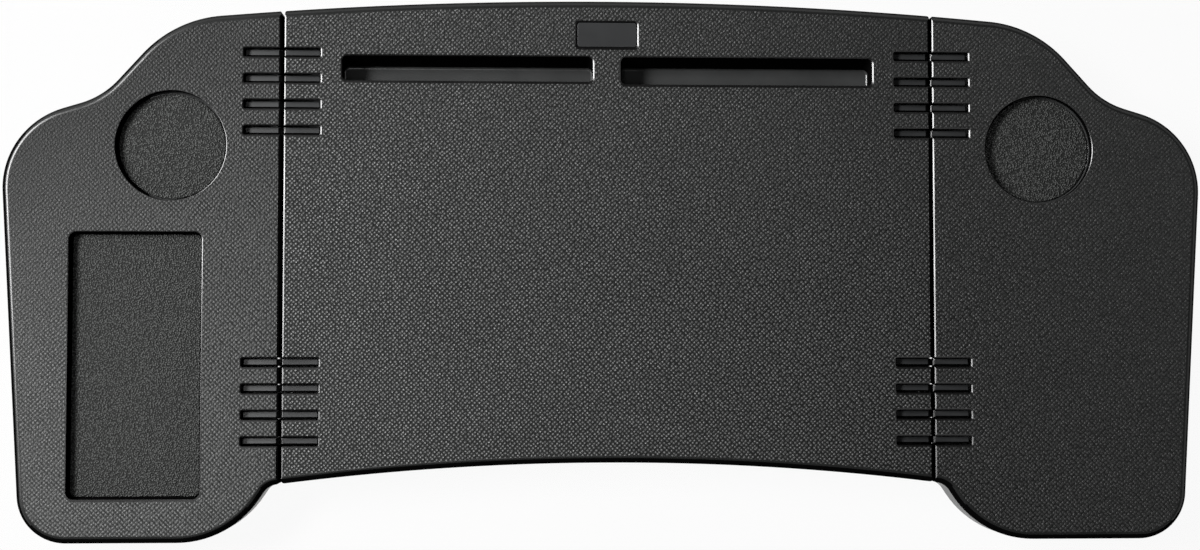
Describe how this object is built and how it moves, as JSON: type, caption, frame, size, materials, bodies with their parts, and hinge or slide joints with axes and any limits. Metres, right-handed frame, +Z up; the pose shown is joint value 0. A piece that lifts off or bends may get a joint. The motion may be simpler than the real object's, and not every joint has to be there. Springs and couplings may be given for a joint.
{
  "type": "steering wheel desk",
  "caption": "Folding tray desk that hangs on a steering wheel, with device slots, cup and phone recesses, wings that fold under it and rim hooks that swing out.",
  "frame": {"origin": "middle of the open desk's outline, on the plane that the feet stand on", "axes": "+X along the desk to the user's right, +Y away from the user to the desk's far edge, +Z up out of the tray's top"},
  "size_m": [0.7448, 0.3356, 0.0331],
  "materials": {
    "shell": "charcoal, fine pebble texture",
    "cover": "charcoal, fine spark texture",
    "badge": "smooth satin, bare",
    "mat": "soft matt, sandy grain",
    "rubber": "matt black",
    "hinge": "smooth satin",
    "hook": "smooth satin",
    "pin": "turned",
    "screw": "zinc, dark",
    "sleeve": "plain"
  },
  "bodies": {
    "centre": {"badge_plate": "badge", "centre_base": "cover", "centre_case_screw_1": "screw", "centre_case_screw_2": "screw", "centre_case_screw_3": "screw", "centre_case_screw_4": "screw", "centre_foot_1": "rubber", "centre_foot_2": "rubber", "centre_foot_3": "rubber", "centre_foot_4": "rubber", "centre_top": "shell", "hinge_left_front_inner_leaf": "hinge", "hinge_left_front_inner_screw": "screw", "hinge_left_front_pin": "pin", "hinge_left_rear_inner_leaf": "hinge", "hinge_left_rear_inner_screw": "screw", "hinge_left_rear_pin": "pin", "hinge_right_front_inner_leaf": "hinge", "hinge_right_front_inner_screw": "screw", "hinge_right_front_pin": "pin", "hinge_right_rear_inner_leaf": "hinge", "hinge_right_rear_inner_screw": "screw", "hinge_right_rear_pin": "pin", "left_hook_pin": "pin", "left_wheel_pad": "rubber", "right_hook_pin": "pin", "right_wheel_pad": "rubber"},
    "left_wing": {"hinge_left_front_outer_leaf": "hinge", "hinge_left_front_outer_screw": "screw", "hinge_left_front_sleeve": "sleeve", "hinge_left_rear_outer_leaf": "hinge", "hinge_left_rear_outer_screw": "screw", "hinge_left_rear_sleeve": "sleeve", "left_cup_mat": "mat", "left_wing_base": "cover", "left_wing_case_screw_1": "screw", "left_wing_case_screw_2": "screw", "left_wing_foot_1": "rubber", "left_wing_foot_2": "rubber", "left_wing_top": "shell", "phone_mat": "mat"},
    "right_wing": {"hinge_right_front_outer_leaf": "hinge", "hinge_right_front_outer_screw": "screw", "hinge_right_front_sleeve": "sleeve", "hinge_right_rear_outer_leaf": "hinge", "hinge_right_rear_outer_screw": "screw", "hinge_right_rear_sleeve": "sleeve", "right_cup_mat": "mat", "right_wing_base": "cover", "right_wing_case_screw_1": "screw", "right_wing_case_screw_2": "screw", "right_wing_foot_1": "rubber", "right_wing_foot_2": "rubber", "right_wing_top": "shell"},
    "left_hook": {"left_hook": "hook", "left_hook_pad": "rubber"},
    "right_hook": {"right_hook": "hook", "right_hook_pad": "rubber"}
  },
  "joints": [
    {"name": "left_wing_fold", "type": "hinge", "parent": "centre", "child": "left_wing", "pos_m": [-0.202, 0, 0.0046], "axis": [0, -1, 0], "range_deg": [0, 180]},
    {"name": "right_wing_fold", "type": "hinge", "parent": "centre", "child": "right_wing", "pos_m": [0.202, 0, 0.0046], "axis": [0, 1, 0], "range_deg": [0, 180]},
    {"name": "left_hook_swing", "type": "hinge", "parent": "centre", "child": "left_hook", "pos_m": [-0.082, 0.13395, 0.0046], "axis": [0, 1, 0], "range_deg": [0, 90]},
    {"name": "right_hook_swing", "type": "hinge", "parent": "centre", "child": "right_hook", "pos_m": [0.082, 0.13395, 0.0046], "axis": [0, -1, 0], "range_deg": [0, 90]}
  ]
}
